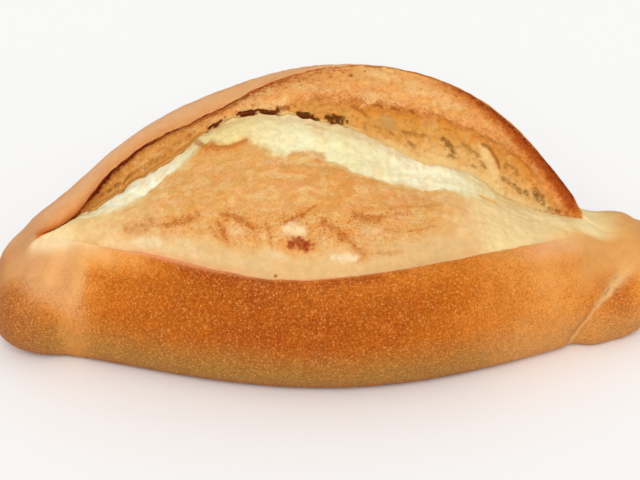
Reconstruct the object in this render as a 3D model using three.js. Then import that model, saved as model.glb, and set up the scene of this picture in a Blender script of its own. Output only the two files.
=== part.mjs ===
// A bolillo, the short pointed white roll of Mexico. It was baked with one long slash, which has
// opened into a broad pale face. A high ear of crust stands behind the face, and a low lip of
// crust runs along its front. The two ends are folded into knobs. The roll is one closed solid
// with a flat underside, lofted through upright sections that follow each other along X.
//
// Millimetres. +X runs along the roll, -Y is the side that the slash faces and +Z is up. The
// origin is the middle of the flat underside.

import * as THREE from 'three';

const { clamp, lerp } = THREE.MathUtils;

// ---- Driving sizes ----

const LENGTH = 157;
const WIDTH = 77.5;
const HEIGHT = 63.4;                    // top of the ear
const END_WIDTH = 36;                   // across the knob at either end

// Height of the widest line, and how far the rounded underside reaches in from the side.
const MIDDLE = { widest: 17.5, inset: 9.5 };
const KNOB = { widest: 12, inset: 7 };

// Stations along the roll, as [x, height].
const EAR_LIP = [
  [-66, 29.6], [-58, 33.3], [-50, 42.3], [-40, 48.8], [-28, 53.4], [-10, 61.2],
  [8, HEIGHT], [24, 60.4], [40, 51.2], [54, 36], [58, 30.6], [60.8, 26.3], [72, 25.5],
];
const TEAR = [
  [-66, 29], [-57, 32.8], [-46, 38.6], [-36, 44], [-27, 50.4], [-16, 53.2], [-5, 51],
  [12, 45.2], [22, 39.2], [29, 38.2], [36, 35], [41, 31.4], [46, 29], [52, 27.3], [60, 26.2], [72, 25.5],
];
const FRONT_LIP = [
  [-68, 29.2], [-57, 31.1], [-50, 31.2], [-40, 32.2], [-30, 31.4], [-17, 30.1], [0, 30.7],
  [14, 30.8], [27, 30.4], [38, 29.4], [50, 27.4], [60, 25.4], [70, 24.4],
];
const CROWN = [
  [-73, 26.6], [-67, 29.4], [-57, 38.5], [-46, 48.5], [-34, 55.9], [-20, 61],
  [0, 62], [20, 57], [40, 45.5], [54, 32], [60.5, 25.2], [72, 24.6],
];

// Places across the roll: the value at the ends, and what a half cosine adds in the middle.
const EAR_ACROSS = { end: -6, rise: 12, centre: 10, reach: 72 };
const TEAR_ACROSS = { end: -7.5, rise: 12.5, centre: 5, reach: 72 };
const FRONT_ACROSS = { end: -8, rise: -26.5, centre: -3, reach: 63 };

// The slash is open between these places, and closes gently over the knobs.
const OPEN = { left: [-73, -62], right: [57, 66] };

const FACE_BULGE = 6;                   // the risen face against a straight line across it
const CRUMB_SWELL = 1.3;                // the white crumb that swells along the tear
const LIP_STEP = 0.9;                   // edge of the front crust, standing over the face

// Where those forms come in and die away: the flatter, plainer face lies towards the right end.
const SWELL = { left: [-50, -26], right: [24, 42] };
const LIP_LEFT = [-66, -54];
const FLATTER = [28, 52];

const TEAR_GAP = 1.4;
const TEAR_DEPTH = 2.6;
const EAR_HOLLOW = 2.2;
const EAR_EDGE = 0.4;

// Torn gas pockets along the foot of the ear: middle, half sizes along and up, and depth.
const POCKETS = [
  { x: -25.5, up: 0.5, along: 3, rise: 1.6, depth: 1.6 },
  { x: -17.5, up: 0.5, along: 4, rise: 1.8, depth: 2 },
  { x: 2.5, up: 1.2, along: 3.6, rise: 2, depth: 2.4 },
  { x: 15, up: 3, along: 2.6, rise: 2, depth: 1.4 },
  { x: 28.5, up: 3, along: 3, rise: 2.2, depth: 1.6 },
  { x: 38.5, up: 5, along: 2.6, rise: 3, depth: 1.8 },
  { x: 45, up: 2, along: 2.6, rise: 2, depth: 1.8 },
  { x: 50, up: 1, along: 2.4, rise: 1.8, depth: 1.6 },
];

// The knobs close on a point at this height. Each quarter has its own roundness.
const CLOSING = 17.5;
const LEFT_KNOB = { y: -1, z: 8, front: 3.2, back: 2.4, above: 2.5, below: 2.1 };
const RIGHT_KNOB = { y: 0, z: 12, front: 2.8, back: 2.4, above: 3.4, below: 2.2 };

// Number of steps round a section.
const STEPS = {
  backUpper: 11, backLower: 4, base: 4, frontLower: 4, frontUpper: 6, face: 15, tear: 3, ear: 11,
};
const STATIONS = 98;

const CRUST_COLOUR = 0xd08a45;

// ---- Curves ----

function smoothstep(low, high, value) {
  const t = clamp((value - low) / (high - low), 0, 1);
  return t * t * (3 - 2 * t);
}

function bell(distance, width) {
  return Math.exp(-((distance / width) ** 2));
}

function halfCosine(x, centre, reach) {
  return Math.cos((clamp((x - centre) / reach, -1, 1) * Math.PI) / 2);
}

function across(x, { end, rise, centre, reach }) {
  return end + rise * halfCosine(x, centre, reach);
}

// A smooth curve through a few stations, level beyond the first and the last.
function through(x, stations) {
  const last = stations.length - 1;
  const at = clamp(x, stations[0][0], stations[last][0]);
  let i = 0;
  while (i < last - 1 && at >= stations[i + 1][0]) i += 1;
  const [x0, v0] = stations[i];
  const [x1, v1] = stations[i + 1];
  const width = x1 - x0;
  const t = (at - x0) / width;
  const slope0 = stationSlope(stations, i) * width;
  const slope1 = stationSlope(stations, i + 1) * width;
  const t2 = t * t;
  const t3 = t2 * t;
  return (2 * t3 - 3 * t2 + 1) * v0 + (t3 - 2 * t2 + t) * slope0
    + (3 * t2 - 2 * t3) * v1 + (t3 - t2) * slope1;
}

function stationSlope(stations, i) {
  if (i === 0 || i === stations.length - 1) return 0;
  const [before, here, after] = [stations[i - 1], stations[i], stations[i + 1]];
  const w0 = here[0] - before[0];
  const w1 = after[0] - here[0];
  const s0 = (here[1] - before[1]) / w0;
  const s1 = (after[1] - here[1]) / w1;
  return (s0 * w1 + s1 * w0) / (w0 + w1);
}

// ---- One section ----

// What the section at x is drawn from: the closed oval of the roll, and the three lines of the
// slash, which are the front lip, the tear at the foot of the ear, and the ear's own lip.
function sectionSizes(x) {
  const belly = halfCosine(x, 2, 64) ** 1.15;
  const half = lerp(END_WIDTH, WIDTH, belly) / 2;
  const widest = lerp(KNOB.widest, MIDDLE.widest, belly);
  const crown = through(x, CROWN);
  return {
    x,
    half,
    widest,
    inset: lerp(KNOB.inset, MIDDLE.inset, belly),
    open: smoothstep(...OPEN.left, x) * (1 - smoothstep(...OPEN.right, x)),
    oval: (angle) => [half * Math.cos(angle), widest + (crown - widest) * Math.sin(angle)],
    ear: [across(x, EAR_ACROSS), through(x, EAR_LIP)],
    tear: [across(x, TEAR_ACROSS), through(x, TEAR)],
    lip: [across(x, FRONT_ACROSS), through(x, FRONT_LIP)],
  };
}

// The crust, from the ear's lip over the back, under the roll and up to the front lip.
function crustPoints({ half, widest, inset, open, oval, ear, lip }) {
  const earAngle = Math.acos(clamp(ear[0] / half, -1, 1));
  const lipAngle = Math.acos(clamp(lip[0] / half, -1, 1));
  const earLift = open * (ear[1] - oval(earAngle)[1]);
  const lipLift = open * (lip[1] - oval(lipAngle)[1]);
  const points = [];
  for (let i = 0; i < STEPS.backUpper; i += 1) {
    const t = i / STEPS.backUpper;
    const [y, z] = oval(earAngle * (1 - t));
    points.push([y, z + earLift * (1 - t) ** 4]);
  }
  for (let i = 0; i < STEPS.backLower; i += 1) {
    const turn = ((1 - i / STEPS.backLower) * Math.PI) / 2;
    points.push([half - inset + inset * Math.sin(turn), widest * (1 - Math.cos(turn))]);
  }
  for (let i = 0; i < STEPS.base; i += 1) {
    points.push([lerp(half - inset, inset - half, i / STEPS.base), 0]);
  }
  for (let i = 0; i < STEPS.frontLower; i += 1) {
    const turn = ((i / STEPS.frontLower) * Math.PI) / 2;
    points.push([inset - half - inset * Math.sin(turn), widest * (1 - Math.cos(turn))]);
  }
  for (let i = 0; i < STEPS.frontUpper; i += 1) {
    const t = i / STEPS.frontUpper;
    const [y, z] = oval(lerp(Math.PI, lipAngle, t));
    points.push([y, z + lipLift * t * t]);
  }
  return { points, earAngle, lipAngle };
}

// The open slash: the face from the front lip up to the tear, the gap of the tear, and the
// inner wall of the ear up to its lip.
function slashPoints({ x, ear, tear, lip }) {
  const points = [];
  const chord = [tear[0] - lip[0], tear[1] - lip[1]];
  const length = Math.hypot(...chord);
  const out = [-chord[1] / length, chord[0] / length];
  const flat = smoothstep(...FLATTER, x);
  const fullness = halfCosine(x, 0, 72) * (1 - 0.7 * flat);
  const swelling = smoothstep(...SWELL.left, x) * (1 - smoothstep(...SWELL.right, x));
  const lipStep = LIP_STEP * smoothstep(...LIP_LEFT, x) * (1 - flat);
  for (let i = 0; i < STEPS.face; i += 1) {
    const t = (i / STEPS.face) ** 1.15;
    const bulge = FACE_BULGE * fullness * 4 * t * (1 - t);
    const swell = CRUMB_SWELL * swelling * bell(t - 0.84, 0.12);
    const rise = bulge + swell - lipStep * bell(t * length, 1.3);
    points.push([lip[0] + chord[0] * t + out[0] * rise, lip[1] + chord[1] * t + out[1] * rise]);
  }
  for (let i = 0; i < STEPS.tear; i += 1) {
    const t = i / STEPS.tear;
    const deep = TEAR_DEPTH * Math.sin(Math.PI * t);
    points.push([tear[0] + TEAR_GAP * t + 0.3 * deep, tear[1] - deep]);
  }
  const wall = ear[1] - tear[1];
  for (let i = 0; i < STEPS.ear; i += 1) {
    const t = i / STEPS.ear;
    const hollow = EAR_HOLLOW * Math.sin(Math.PI * t) * clamp(wall / 12, 0, 1);
    const y = lerp(tear[0] + TEAR_GAP, ear[0] - EAR_EDGE, t);
    points.push([y + hollow + pocketDepth(x, wall * t, wall), tear[1] + wall * t]);
  }
  return points;
}

function pocketDepth(x, up, wall) {
  const shallow = clamp(wall / 8, 0, 1) * clamp((wall - up) / 4, 0, 1);
  return POCKETS.reduce((depth, pocket) => {
    const apart = ((x - pocket.x) / pocket.along) ** 2 + ((up - pocket.up) / pocket.rise) ** 2;
    return depth + pocket.depth * shallow * Math.exp(-apart);
  }, 0);
}

// Over the knobs the slash closes, so its points settle onto the oval.
function section(x) {
  const sizes = sectionSizes(x);
  const { points, earAngle, lipAngle } = crustPoints(sizes);
  const slash = slashPoints(sizes);
  slash.forEach(([y, z], i) => {
    const [closedY, closedZ] = sizes.oval(lerp(lipAngle, earAngle, i / slash.length));
    points.push([lerp(closedY, y, sizes.open), lerp(closedZ, z, sizes.open)]);
  });
  return points;
}

// ---- The ends ----

function taper(x, roundness) {
  const t = clamp((Math.abs(x) - (LENGTH / 2 - CLOSING)) / CLOSING, 0, 1);
  return (1 - t ** roundness) ** (1 / roundness);
}

function knobAt(x) {
  return x < 0 ? LEFT_KNOB : RIGHT_KNOB;
}

function closeEnd(x, y, z) {
  const knob = knobAt(x);
  const side = y < knob.y ? knob.front : knob.back;
  const level = z > knob.z ? knob.above : knob.below;
  return [knob.y + (y - knob.y) * taper(x, side), knob.z + (z - knob.z) * taper(x, level)];
}

// How far a point is pushed out from the axis of its knob. On the left a shallow valley runs
// down where the knob begins. On the right the shoulder overlaps a nub that is tucked in low,
// past a fold that leans outwards as it rises.
function foldPush(x, y, z) {
  const towardsBack = lerp(1, 0.55, smoothstep(-4, 10, y));
  if (x < 0) {
    const valley = -60.3 - 1.2 * bell(z - 22, 7) + 2.5 * smoothstep(24, 34, z);
    const depth = 0.7 * smoothstep(0, 9, z) * (1 - smoothstep(24, 34, z));
    return -depth * bell(x - valley, 3.2) * towardsBack;
  }
  const lean = 0.08 + 0.07 * z;
  const past = (x - (55 + 0.08 * z + 0.035 * z * z)) / Math.hypot(1, lean);
  const crease = -1.2 * bell(past, past > 0 ? 3 : 1.6) * smoothstep(-3, 6, z);
  const nub = 1.7 * smoothstep(0, 7, past) * smoothstep(-8, 4, z);
  return (crease + nub) * towardsBack * (1 - smoothstep(22, 30, z));
}

function foldEnd(x, y, z) {
  const knob = knobAt(x);
  const away = Math.hypot(y - knob.y, z - knob.z);
  const scale = 1 + Math.max(foldPush(x, y, z) / away, -0.5);
  return [knob.y + (y - knob.y) * scale, Math.max(knob.z + (z - knob.z) * scale, 0)];
}

// ---- The solid ----

// Stations lie closer together towards the two ends, which the solid closes with a point each.
function stationPlaces() {
  const places = [];
  for (let i = 1; i < STATIONS; i += 1) {
    const t = (2 * i) / STATIONS - 1;
    places.push((LENGTH / 2) * lerp(t, Math.sin((t * Math.PI) / 2), 0.35));
  }
  return places;
}

function rollGeometry() {
  const rings = stationPlaces().map((x) => section(x).map(([y, z]) => {
    const closed = closeEnd(x, y, z);
    return [x, ...foldEnd(x, ...closed)];
  }));
  const round = rings[0].length;
  const positions = rings.flat();
  const leftTip = positions.push([-LENGTH / 2, LEFT_KNOB.y, LEFT_KNOB.z]) - 1;
  const rightTip = positions.push([LENGTH / 2, RIGHT_KNOB.y, RIGHT_KNOB.z]) - 1;

  const faces = [];
  for (let j = 0; j < round; j += 1) {
    const next = (j + 1) % round;
    for (let i = 0; i < rings.length - 1; i += 1) {
      const [a, b] = [i * round + j, i * round + next];
      faces.push(a, b + round, b, a, a + round, b + round);
    }
    const lastRing = (rings.length - 1) * round;
    faces.push(leftTip, j, next, rightTip, lastRing + next, lastRing + j);
  }

  const geometry = new THREE.BufferGeometry();
  geometry.setAttribute('position', new THREE.Float32BufferAttribute(positions.flat(), 3));
  geometry.setIndex(faces);
  geometry.computeVertexNormals();
  return geometry;
}

const crust = new THREE.MeshStandardMaterial({ color: CRUST_COLOUR, roughness: 0.6, metalness: 0 });
const roll = new THREE.Mesh(rollGeometry(), crust);
roll.name = 'bolillo_roll';

const group = new THREE.Group();
group.add(roll);

export default group;
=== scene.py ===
"""A bolillo: a short, pointed white roll, baked with one long slash that opened under an ear of crust.

The roll is one fine mesh, lofted over the same lines as its CAD solid. Its relief and its colours
are worked out from where each point lies: on the crust, on the open face, in the tear or up the
ear's inner wall. Sizes are in millimetres until the meshes are made, in metres."""

import math
from types import SimpleNamespace

import bpy
import numpy as np
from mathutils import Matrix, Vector


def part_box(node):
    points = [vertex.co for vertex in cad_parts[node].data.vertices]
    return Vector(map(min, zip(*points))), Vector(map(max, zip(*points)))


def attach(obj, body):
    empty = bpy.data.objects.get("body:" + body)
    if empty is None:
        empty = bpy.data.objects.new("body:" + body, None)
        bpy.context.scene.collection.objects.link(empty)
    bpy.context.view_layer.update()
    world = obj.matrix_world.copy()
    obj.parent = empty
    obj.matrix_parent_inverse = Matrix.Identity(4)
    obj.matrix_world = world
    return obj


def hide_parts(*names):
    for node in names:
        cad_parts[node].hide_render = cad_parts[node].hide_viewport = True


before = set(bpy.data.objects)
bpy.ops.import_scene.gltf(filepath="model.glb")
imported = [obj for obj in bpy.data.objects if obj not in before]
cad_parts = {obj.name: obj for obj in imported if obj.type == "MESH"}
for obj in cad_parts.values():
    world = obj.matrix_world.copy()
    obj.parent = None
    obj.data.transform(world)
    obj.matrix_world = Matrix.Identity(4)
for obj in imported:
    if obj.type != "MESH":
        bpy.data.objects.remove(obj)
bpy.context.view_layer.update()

NODE = "bolillo_roll"
BODY = "root"
MM = 0.001

# ---- driving sizes

low_corner, high_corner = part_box(NODE)
LENGTH = (high_corner.x - low_corner.x) / MM
WIDTH = (high_corner.y - low_corner.y) / MM
HEIGHT = 63.4
END_WIDTH = 36

# Height of the widest line, and how far the rounded underside reaches in from the side.
MIDDLE = SimpleNamespace(widest=17.5, inset=9.5)
KNOB = SimpleNamespace(widest=12, inset=7)

# Stations along the roll, as (x, height).
EAR_LIP = [(-66, 29.6), (-58, 33.3), (-50, 42.3), (-40, 48.8), (-28, 53.4), (-10, 61.2),
           (8, HEIGHT), (24, 60.4), (40, 51.2), (54, 36), (58, 30.6), (60.8, 26.3), (72, 25.5)]
TEAR = [(-66, 29), (-57, 32.8), (-46, 38.6), (-36, 44), (-27, 50.4), (-16, 53.2), (-5, 51), (12, 45.2),
        (22, 39.2), (29, 38.2), (36, 35), (41, 31.4), (46, 29), (52, 27.3), (60, 26.2), (72, 25.5)]
FRONT_LIP = [(-68, 29.2), (-57, 31.1), (-50, 31.2), (-40, 32.2), (-30, 31.4), (-17, 30.1), (0, 30.7),
             (14, 30.8), (27, 30.4), (38, 29.4), (50, 27.4), (60, 25.4), (70, 24.4)]
CROWN = [(-73, 26.6), (-67, 29.4), (-57, 38.5), (-46, 48.5), (-34, 55.9), (-20, 61),
         (0, 62), (20, 57), (40, 45.5), (54, 32), (60.5, 25.2), (72, 24.6)]

# Places across the roll: the value at the ends, and what a half cosine adds in the middle.
EAR_ACROSS = dict(end=-6, rise=12, centre=10, reach=72)
TEAR_ACROSS = dict(end=-7.5, rise=12.5, centre=5, reach=72)
FRONT_ACROSS = dict(end=-8, rise=-26.5, centre=-3, reach=63)

OPEN_LEFT = (-73, -62)
OPEN_RIGHT = (57, 66)

FACE_BULGE = 6
CRUMB_SWELL = 1.3
FLATTER = (28, 52)                       # the face lies flatter past here, towards the right
SWELL_RIGHT = (24, 42)                   # and its swell by the tear fades between these places
SWELL_LEFT = (-50, -26)
LIP_LEFT = (-66, -54)
LIP_STEP = 0.9
TEAR_GAP = 1.4
TEAR_DEPTH = 2.6
EAR_HOLLOW = 2.2
EAR_EDGE = 0.4

# The tear's holes, in painted shade: x, half the length, how far above the ear's foot, half the height, and
# how dark.
HOLES = [(-25.6, 2.3, 0.1, 0.34, 1), (-18.3, 2.7, 0.1, 0.6, 1), (-13.2, 2.2, -0.1, 0.5, 0.9),
         (-11.2, 0.5, 0.7, 1, 0.9), (-4.4, 2.5, -0.1, 0.65, 1), (2.5, 2.6, 0.7, 1.05, 1)]
SOFT_HOLES_FROM = -9                     # the holes past here fade out more slowly
SHUT_DEPTH = 0.15
EDGE_SEED = 11                           # for the ragged edges of the slash

CLOSING = 17.5                           # the length over which each end rounds off
EAR_END = 59.6                           # where the ear's colours end on the right
DOME_FROM = 60                           # past here the right end's top is averaged into one dome
DOME_REACH = 2.4
LEFT_KNOB = SimpleNamespace(y=-1, z=8, front=3.2, back=2.4, above=2.5, below=2.1)
RIGHT_KNOB = SimpleNamespace(y=0, z=12, front=2.8, back=2.4, above=3.4, below=2.2)

# How far each corner of the slash is rounded, and how often the points are averaged.
CORNER_REACH = (1.6, 0.9, 0.8, 0.8)
CORNER_PASSES = 12
DOME_PASSES = 14
DOME_STRIDE = 7

# How finely the mesh is drawn: stations along the roll, and steps round each region of a section.
STATIONS = 660
STEPS = {"back": 96, "back_under": 18, "base": 12, "front_under": 18, "front": 88,
         "face": 150, "tear": 14, "ear": 96}


# ---- curves and noise

def ramp(low, high, value):
    """Rises smoothly from 0 at low to 1 at high, or falls where low is the larger."""
    t = np.clip((value - low) / (high - low), 0, 1)
    return t * t * (3 - 2 * t)


def between(low, full, fading, gone, value):
    """Rises to 1 between the first two places, and falls back to 0 between the last two."""
    return ramp(low, full, value) * ramp(gone, fading, value)


def mix(a, b, t):
    return a + (b - a) * t


def blend(a, b, share):
    """Mixes colours or points by one share for each."""
    return mix(a, b, share[..., None])


def bell(distance, width):
    return np.exp(-((distance / width) ** 2))


def half_cosine(x, centre, reach):
    return np.cos(np.clip((x - centre) / reach, -1, 1) * np.pi / 2)


def across(x, end, rise, centre, reach):
    return end + rise * half_cosine(x, centre, reach)


def through(x, stations):
    """A smooth curve through a few stations, level beyond the first and the last."""
    places, values = np.array(stations, float).T
    width = np.diff(places)
    slope = np.diff(values) / width
    tangent = np.zeros_like(values)
    tangent[1:-1] = (slope[:-1] * width[1:] + slope[1:] * width[:-1]) / (width[1:] + width[:-1])
    x = np.clip(x, places[0], places[-1])
    i = np.clip(np.searchsorted(places, x, side="right") - 1, 0, len(places) - 2)
    t = (x - places[i]) / width[i]
    return ((2 * t**3 - 3 * t**2 + 1) * values[i] + (t**3 - 2 * t**2 + t) * width[i] * tangent[i]
            + (3 * t**2 - 2 * t**3) * values[i + 1] + (t**3 - t**2) * width[i] * tangent[i + 1])


class Noise:
    """Smooth seeded noise over three dimensions, mostly between -1 and 1."""

    def __init__(self, seed):
        draw = np.random.default_rng(seed)
        self.order = np.tile(draw.permutation(256), 2)
        slopes = draw.normal(size=(256, 3))
        self.slopes = slopes / np.linalg.norm(slopes, axis=1, keepdims=True)

    def __call__(self, points, size):
        scaled = points / size
        cell = np.floor(scaled).astype(int)
        part = scaled - cell
        fade = part**3 * (part * (part * 6 - 15) + 10)
        total = np.zeros(points.shape[:-1])
        for corner in np.ndindex(2, 2, 2):
            at = (cell + corner) & 255
            index = self.order[self.order[self.order[at[..., 0]] + at[..., 1]] + at[..., 2]]
            lean = ((part - corner) * self.slopes[index]).sum(-1)
            total += lean * np.where(corner, fade, 1 - fade).prod(-1)
        return 1.7 * total

    def layered(self, points, size, layers=3, fading=0.5):
        return sum(fading**i * self(points + 31.7 * i, size / 2**i) for i in range(layers))


def along(x, row):
    """Points on a straight line, for noise that only changes along the roll."""
    return np.stack([x, np.full_like(x, 100.0 * row), np.zeros_like(x)], -1)


# ---- sections

def section_lines(x):
    """What the sections at x are drawn from: the closed oval, and the three lines of the slash."""
    ragged = Noise(EDGE_SEED)
    belly = half_cosine(x, 2, 64) ** 1.15
    opening = between(*OPEN_LEFT, *OPEN_RIGHT, x)
    rough = opening * between(-66, -52, 52, 62, x)
    ear_rag = 0.35 * ragged(along(x, 1), 5) + 0.22 * ragged(along(x, 2), 1.7)
    ear_rag = ear_rag * mix(1, 0.4, ramp(-10, 20, x))
    tear_rag = 0.55 * ragged(along(x, 3), 4.5) + 0.45 * ragged(along(x, 4), 1.6)
    lip_rag = 0.25 * ragged(along(x, 5), 5) + 0.08 * ragged(along(x, 6), 1.5)
    return SimpleNamespace(
        x=x,
        half=mix(END_WIDTH, WIDTH, belly) / 2,
        widest=mix(KNOB.widest, MIDDLE.widest, belly),
        inset=mix(KNOB.inset, MIDDLE.inset, belly),
        crown=through(x, CROWN),
        opening=opening,
        ear_y=across(x, **EAR_ACROSS),
        ear_z=through(x, EAR_LIP) + rough * ear_rag,
        tear_y=across(x, **TEAR_ACROSS),
        tear_z=through(x, TEAR) + rough * tear_rag,
        lip_y=across(x, **FRONT_ACROSS),
        lip_z=through(x, FRONT_LIP) + rough * lip_rag,
    )


def gaping(x):
    """From 0 where the tear stays shut to 1 in the middle of a hole."""
    holes = [np.clip(1 - ((x - centre) / half) ** 2, 0, 1) ** 0.7 for centre, half, *_ in HOLES]
    return np.max(holes, axis=0)


def oval(line, angle):
    return line.half * np.cos(angle), line.widest + (line.crown - line.widest) * np.sin(angle)


def crust_parts(line, step, ear_angle, lip_angle):
    """The crust from the ear's lip, over the back and under the roll, up to the front lip."""
    ear_lift = line.opening * (line.ear_z - oval(line, ear_angle)[1])
    lip_lift = line.opening * (line.lip_z - oval(line, lip_angle)[1])

    t = step["back"] ** 1.3
    y, z = oval(line, ear_angle * (1 - t))
    back = y, z + ear_lift * (1 - t) ** 4

    turn = (1 - step["back_under"]) * np.pi / 2
    back_under = line.half - line.inset * (1 - np.sin(turn)), line.widest * (1 - np.cos(turn))

    edge = line.half - line.inset
    base = mix(edge, -edge, step["base"]), 0 * edge * step["base"]

    turn = step["front_under"] * np.pi / 2
    front_under = line.inset * (1 - np.sin(turn)) - line.half, line.widest * (1 - np.cos(turn))

    t = 1 - (1 - step["front"]) ** 1.2
    y, z = oval(line, mix(np.pi, lip_angle, t))
    front = y, z + lip_lift * t * t
    return {"back": back, "back_under": back_under, "base": base,
            "front_under": front_under, "front": front}


def slash_parts(line, step):
    """The open slash: the face up to the tear, the gap of the tear, and the ear's inner wall."""
    chord_y, chord_z = line.tear_y - line.lip_y, line.tear_z - line.lip_z
    length = np.hypot(chord_y, chord_z)
    t = step["face"] ** 1.1
    flat = ramp(*FLATTER, line.x)
    bulge = FACE_BULGE * half_cosine(line.x, 0, 72) * (1 - 0.7 * flat) * 4 * t * (1 - t)
    swelling = between(*SWELL_LEFT, *SWELL_RIGHT, line.x)
    lip_step = LIP_STEP * ramp(*LIP_LEFT, line.x) * (1 - flat)
    rise = bulge + CRUMB_SWELL * swelling * bell(t - 0.84, 0.12) - lip_step * bell(t * length, 1.3)
    face = (line.lip_y + chord_y * t - chord_z / length * rise,
            line.lip_z + chord_z * t + chord_y / length * rise)

    t = step["tear"]
    deep = mix(SHUT_DEPTH, TEAR_DEPTH, gaping(line.x)) * np.sin(np.pi * t)
    tear = line.tear_y + TEAR_GAP * t + 0.3 * deep, line.tear_z - deep

    t = step["ear"]
    wall = line.ear_z - line.tear_z
    down = wall * (1 - t)
    hollow = EAR_HOLLOW * np.sin(np.pi * t) * np.clip(wall / 12, 0, 1)
    undercut = 1.1 * ramp(-12, -30, line.x) * bell(down - 1.8, 1.1) * np.clip(wall / 6, 0, 1)
    y = mix(line.tear_y + TEAR_GAP, line.ear_y - EAR_EDGE, t) + hollow + undercut
    return {"face": face, "tear": tear, "ear": (y, line.tear_z + wall * t)}


def sections(x):
    """The sections at x, as arrays of y and z with one row each, and the columns of each region."""
    line = section_lines(x[:, None])
    step = {name: np.linspace(0, 1, count, endpoint=False)[None] for name, count in STEPS.items()}
    ear_angle = np.arccos(line.ear_y / line.half)
    lip_angle = np.arccos(np.clip(line.lip_y / line.half, -1, 1))
    parts = crust_parts(line, step, ear_angle, lip_angle)

    # Over the knobs the slash closes, so its points settle onto the oval.
    slash = slash_parts(line, step)
    slash_steps = sum(STEPS[name] for name in slash)
    passed = 0
    for name, (y, z) in slash.items():
        share = (passed + np.arange(STEPS[name]))[None] / slash_steps
        closed_y, closed_z = oval(line, mix(lip_angle, ear_angle, share))
        parts[name] = mix(closed_y, y, line.opening), mix(closed_z, z, line.opening)
        passed += STEPS[name]

    columns, start = {}, 0
    for name in parts:
        columns[name] = slice(start, start + STEPS[name])
        start += STEPS[name]
    y = np.concatenate([part[0] for part in parts.values()], axis=1)
    z = np.concatenate([part[1] for part in parts.values()], axis=1)
    return y, z, columns


# ---- the ends

def taper(x, roundness):
    t = np.clip((np.abs(x) - (LENGTH / 2 - CLOSING)) / CLOSING, 0, 1)
    return (1 - t**roundness) ** (1 / roundness)


def knob_value(x, name):
    return np.where(x < 0, getattr(LEFT_KNOB, name), getattr(RIGHT_KNOB, name))


def close_ends(x, y, z):
    middle_y, middle_z = knob_value(x, "y"), knob_value(x, "z")
    side = np.where(y < middle_y, knob_value(x, "front"), knob_value(x, "back"))
    level = np.where(z > middle_z, knob_value(x, "above"), knob_value(x, "below"))
    return middle_y + (y - middle_y) * taper(x, side), middle_z + (z - middle_z) * taper(x, level)


def past_right_fold(x, z):
    """How far a point lies past the leaning fold of the right end, on its tucked-in nub."""
    return (x - (55 + 0.08 * z + 0.035 * z**2)) / np.hypot(1, 0.08 + 0.07 * z)


def past_left_valley(x, z):
    return (-60.3 - 1.2 * bell(z - 22, 7) + 2.5 * ramp(24, 34, z)) - x


def fold_push(x, y, z):
    """How far the folds push a point out from the axis of its knob."""
    towards_back = mix(1, 0.55, ramp(-4, 10, y))
    valley = -0.7 * bell(past_left_valley(x, z), 3.2) * between(0, 9, 24, 34, z)
    past = past_right_fold(x, z)
    crease = -1.2 * bell(past, np.where(past > 0, 3, 1.6)) * ramp(-3, 6, z)
    nub = 1.7 * ramp(0, 7, past) * ramp(-8, 4, z)
    fold = (crease + nub) * ramp(30, 22, z)
    return np.where(x < 0, valley, fold) * towards_back


def fold_ends(x, y, z):
    middle_y, middle_z = knob_value(x, "y"), knob_value(x, "z")
    away = np.hypot(y - middle_y, z - middle_z) + 1e-6
    scale = 1 + np.maximum(fold_push(x, y, z) / away, -0.5)
    return middle_y + (y - middle_y) * scale, np.maximum(middle_z + (z - middle_z) * scale, 0)


def station_places():
    t = np.linspace(-1, 1, STATIONS + 1)[1:-1]
    return LENGTH / 2 * mix(t, np.sin(t * np.pi / 2), 0.35)


# ---- the smooth roll

def step_lengths(points):
    """The distance from each point of a section to the next."""
    return np.linalg.norm(np.roll(points, -1, axis=1) - points, axis=2)


def beside(points, stride):
    """The middle between the points on either side."""
    return (np.roll(points, stride, axis=1) + np.roll(points, -stride, axis=1)) / 2


def soften(points, columns):
    """Rounds the ear's lip, the front lip and the foot of the tear, and evens the top past the slash."""
    corners = [0, columns["face"].start, columns["tear"].start, columns["ear"].start]
    steps = step_lengths(points)
    travelled = np.cumsum(steps, axis=1) - steps
    loop = steps.sum(axis=1, keepdims=True)
    weight = np.zeros(travelled.shape)
    for corner, reach in zip(corners, CORNER_REACH):
        apart = np.abs(travelled - travelled[:, corner:corner + 1])
        weight = np.maximum(weight, bell(np.minimum(apart, loop - apart), reach))
    for _ in range(CORNER_PASSES):
        points = blend(points, beside(points, 1), weight)

    # Past the ends of the slash the top is one even dome.
    x, z = points[..., 0], points[..., 2]
    column = np.arange(points.shape[1])
    front, back = columns["front"].stop, columns["back"].start
    by_slash = np.maximum(ramp(front - 36, front - 8, column), ramp(back + 32, back + 8, column))
    dome = np.maximum(ramp(57.5, 60, x), ramp(-66, -69, x)) * ramp(14, 20, z) * by_slash
    for _ in range(DOME_PASSES):
        points = blend(points, beside(points, DOME_STRIDE), 0.8 * dome)
    return even_dome(points, by_slash)


def even_dome(points, by_slash):
    """Past the ear's tip, averages each section's top over its own length, so that no crest is left."""
    rows = points[:, 0, 0] > DOME_FROM - 2
    ends = points[rows]
    steps = step_lengths(ends)
    travelled = np.cumsum(steps, axis=1) - steps
    loop = steps.sum(axis=1)[:, None, None]
    apart = np.abs(travelled[:, :, None] - travelled[:, None, :])
    stands_for = (steps + np.roll(steps, 1, axis=1))[:, None, :]
    weight = bell(np.minimum(apart, loop - apart), DOME_REACH) * stands_for
    average = weight @ ends / weight.sum(axis=2, keepdims=True)
    x, z = ends[..., 0], ends[..., 2]
    share = ramp(DOME_FROM - 2, DOME_FROM + 1, x) * ramp(14, 20, z) * by_slash
    points = points.copy()
    points[rows] = blend(ends, average, share)
    return points


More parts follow.
